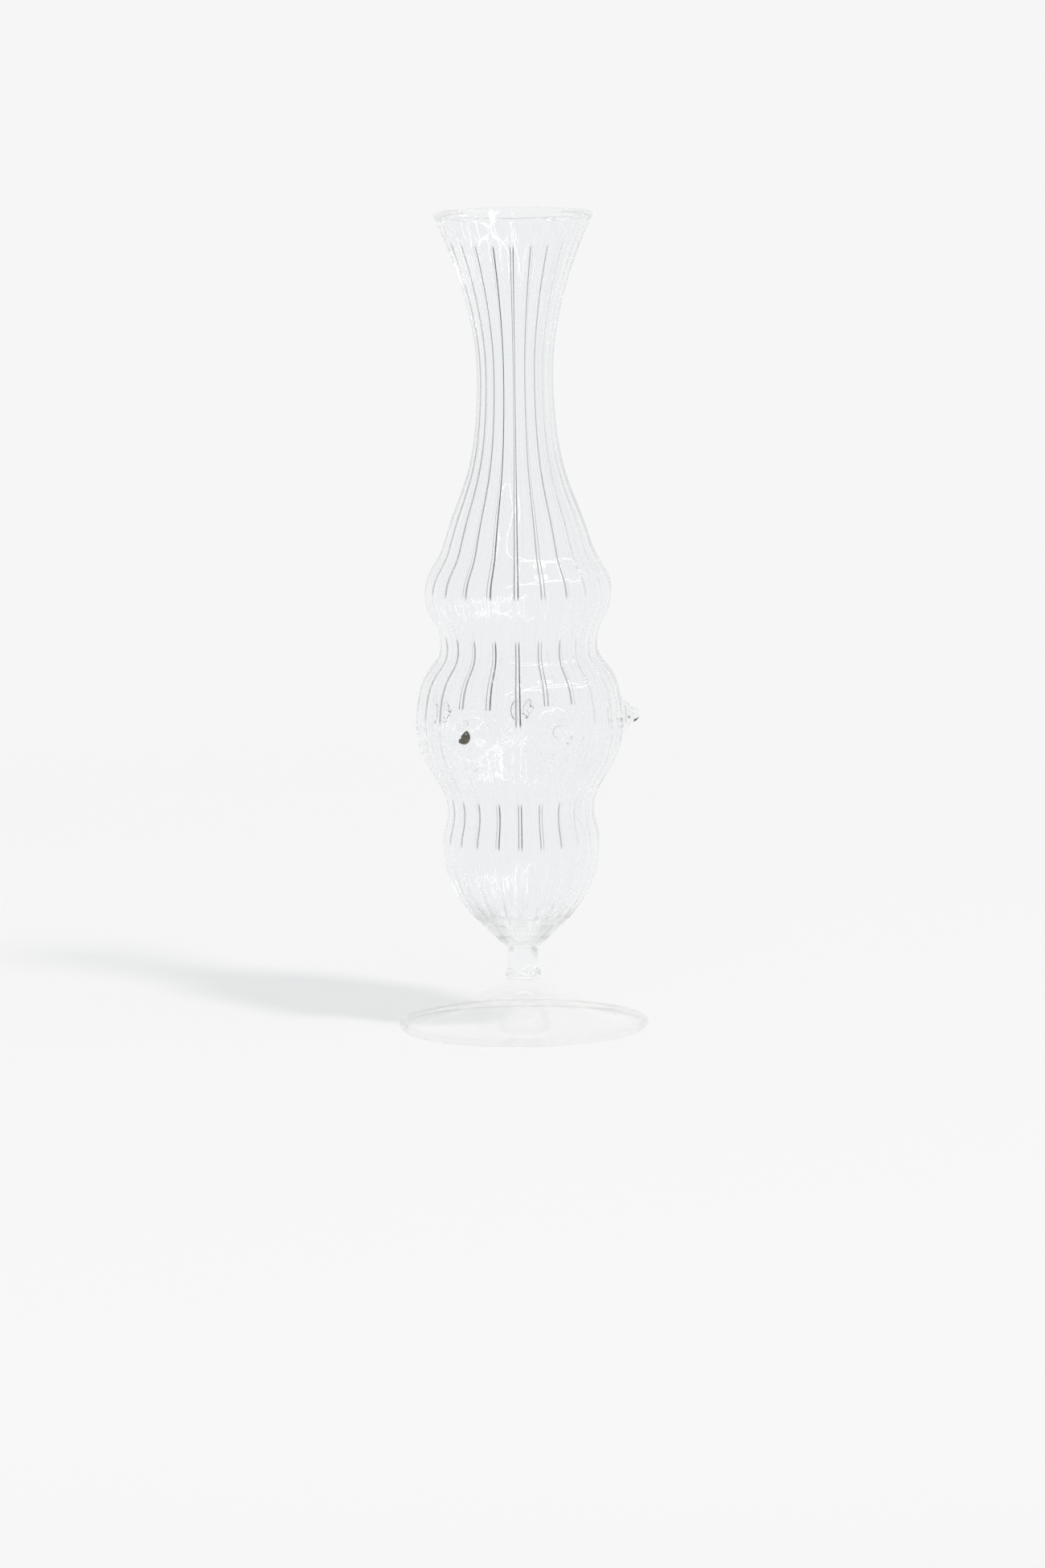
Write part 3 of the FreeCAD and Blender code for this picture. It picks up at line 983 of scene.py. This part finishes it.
def chosen(tree, factor, first, second):
    mix = tree.nodes.new("ShaderNodeMixShader")
    link(tree, factor, mix.inputs[0])
    link(tree, first, mix.inputs[1])
    link(tree, second, mix.inputs[2])
    return mix.outputs["Shader"]


def world():
    """Pale for the camera, a little darker overhead through glass and in reflections, and SKY_LIGHT
    for all other light."""
    sky = bpy.data.worlds.new("studio")
    bpy.context.scene.world = sky
    sky.use_nodes = True
    tree = sky.node_tree
    tree.nodes.clear()
    out = tree.nodes.new("ShaderNodeOutputWorld")
    place = tree.nodes.new("ShaderNodeTexCoord")
    split = tree.nodes.new("ShaderNodeSeparateXYZ")
    path = tree.nodes.new("ShaderNodeLightPath")
    link(tree, place.outputs["Generated"], split.inputs["Vector"])
    through_glass = shaded_by_height(tree, split.outputs["Z"], *THROUGH_GLASS)
    mirrored = shaded_by_height(tree, split.outputs["Z"], *MIRRORED)
    light = chosen(tree, path.outputs["Is Glossy Ray"], background(tree, SKY_LIGHT), mirrored)
    light = chosen(tree, path.outputs["Is Transmission Ray"], light, through_glass)
    light = chosen(tree, path.outputs["Is Camera Ray"], light, background(tree, BACKGROUND))
    link(tree, light, out.inputs["Surface"])


def direction(azimuth, elevation):
    """The direction from the vase to a lamp."""
    a, e = math.radians(azimuth), math.radians(elevation)
    return Vector((math.sin(a) * math.cos(e), -math.cos(a) * math.cos(e), math.sin(e)))


def sun(name, azimuth, elevation, strength, angle):
    data = bpy.data.lights.new(name, "SUN")
    data.energy = strength
    data.angle = math.radians(angle)
    lamp = bpy.data.objects.new(name, data)
    lamp.rotation_euler = direction(azimuth, elevation).to_track_quat("Z", "Y").to_euler()
    bpy.context.scene.collection.objects.link(lamp)


def strip_lamp(name, azimuth, elevation, power):
    """A long thin softbox, which gives the ribs their rows of small highlights."""
    data = bpy.data.lights.new(name, "AREA")
    data.shape = "RECTANGLE"
    data.size, data.size_y = STRIP_LENGTH, STRIP_WIDTH
    data.energy = power
    lamp = bpy.data.objects.new(name, data)
    towards = direction(azimuth, elevation)
    lamp.location = Vector((0, 0, STRIP_AIM_HEIGHT)) + towards * STRIP_DISTANCE
    lamp.rotation_euler = towards.to_track_quat("Z", "Y").to_euler()
    bpy.context.scene.collection.objects.link(lamp)


def camera():
    data = bpy.data.cameras.new("camera")
    data.sensor_width = CAMERA_SENSOR
    data.lens = CAMERA_LENS
    data.clip_end = CAMERA_CLIP
    thing = bpy.data.objects.new("camera", data)
    eye = Vector((0, -CAMERA_DISTANCE, CAMERA_HEIGHT))
    look = (Vector(CAMERA_AIM) - eye).to_track_quat("-Z", "Y").to_matrix().to_4x4()
    roll = Matrix.Rotation(math.radians(-CAMERA_ROLL), 4, "Z")
    thing.matrix_world = Matrix.Translation(eye) @ look @ roll
    bpy.context.scene.collection.objects.link(thing)
    bpy.context.scene.camera = thing


def dress(piece, node):
    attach(piece, "root")
    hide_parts(node)


def build():
    top = placed_rings()[-1][1]
    lip_band = (top - LIP_BAND_BELOW, top + LIP_BAND_ABOVE, *LIP_BAND_LOOK)
    clear = glass("clear_glass", *CLEAR_GLASS, [("height", *TAIL_BAND), ("height", *lip_band)])
    base = glass("foot_glass", *FOOT_GLASS, [("radius", *DOME_BAND), ("radius", *RIM_BAND)])
    bead = glass("bead_glass", *BEAD_GLASS)
    painted_drop_shade = glass("painted_shade_glass", *PAINTED_SHADE_GLASS, cloud_scale=PAINTED_SHADE_SCALE)
    joint = fused_joint()
    dress(vessel([clear, joint]), "vessel")
    stem = turned("stem_bead", rounded_disc(COLLAR_TOP, STEM_TOP, STEM_RADIUS, SEAT_RADIUS),
                  [clear, joint], (True, True))
    dress(stem, "stem")
    ring = rounded_disc(FOOT_TOP, COLLAR_TOP, COLLAR_RADIUS, COLLAR_RADIUS - JOINT_INSET)
    collar = turned("collar_ring", ring, [clear, joint], (True, True))
    dress(collar, "stem_collar")
    dome = turned("domed_foot", foot_profile(), [base, joint], (False, True))
    dress(dome, "foot")
    for name, (azimuth, above) in POINTS.items():
        piece = drop(name, azimuth, above, [bead, joint, painted_drop_shade])
        dress(piece, "tip_bead_" + name)


bpy.context.scene.view_settings.view_transform = "Standard"
camera()
floor()
world()
sun("key", KEY_AZIMUTH, KEY_ELEVATION, KEY_STRENGTH, KEY_ANGLE)
strip_lamp("strip", STRIP_AZIMUTH, STRIP_ELEVATION, STRIP_POWER)
build()
bpy.context.scene.cycles.caustics_reflective = False
bpy.context.scene.cycles.caustics_refractive = False
bpy.context.scene.cycles.max_bounces = LIGHT_BOUNCES
bpy.context.scene.cycles.glossy_bounces = LIGHT_BOUNCES
bpy.context.scene.cycles.transmission_bounces = LIGHT_BOUNCES
bpy.context.scene.cycles.transparent_max_bounces = LIGHT_BOUNCES

bpy.context.view_layer.update()
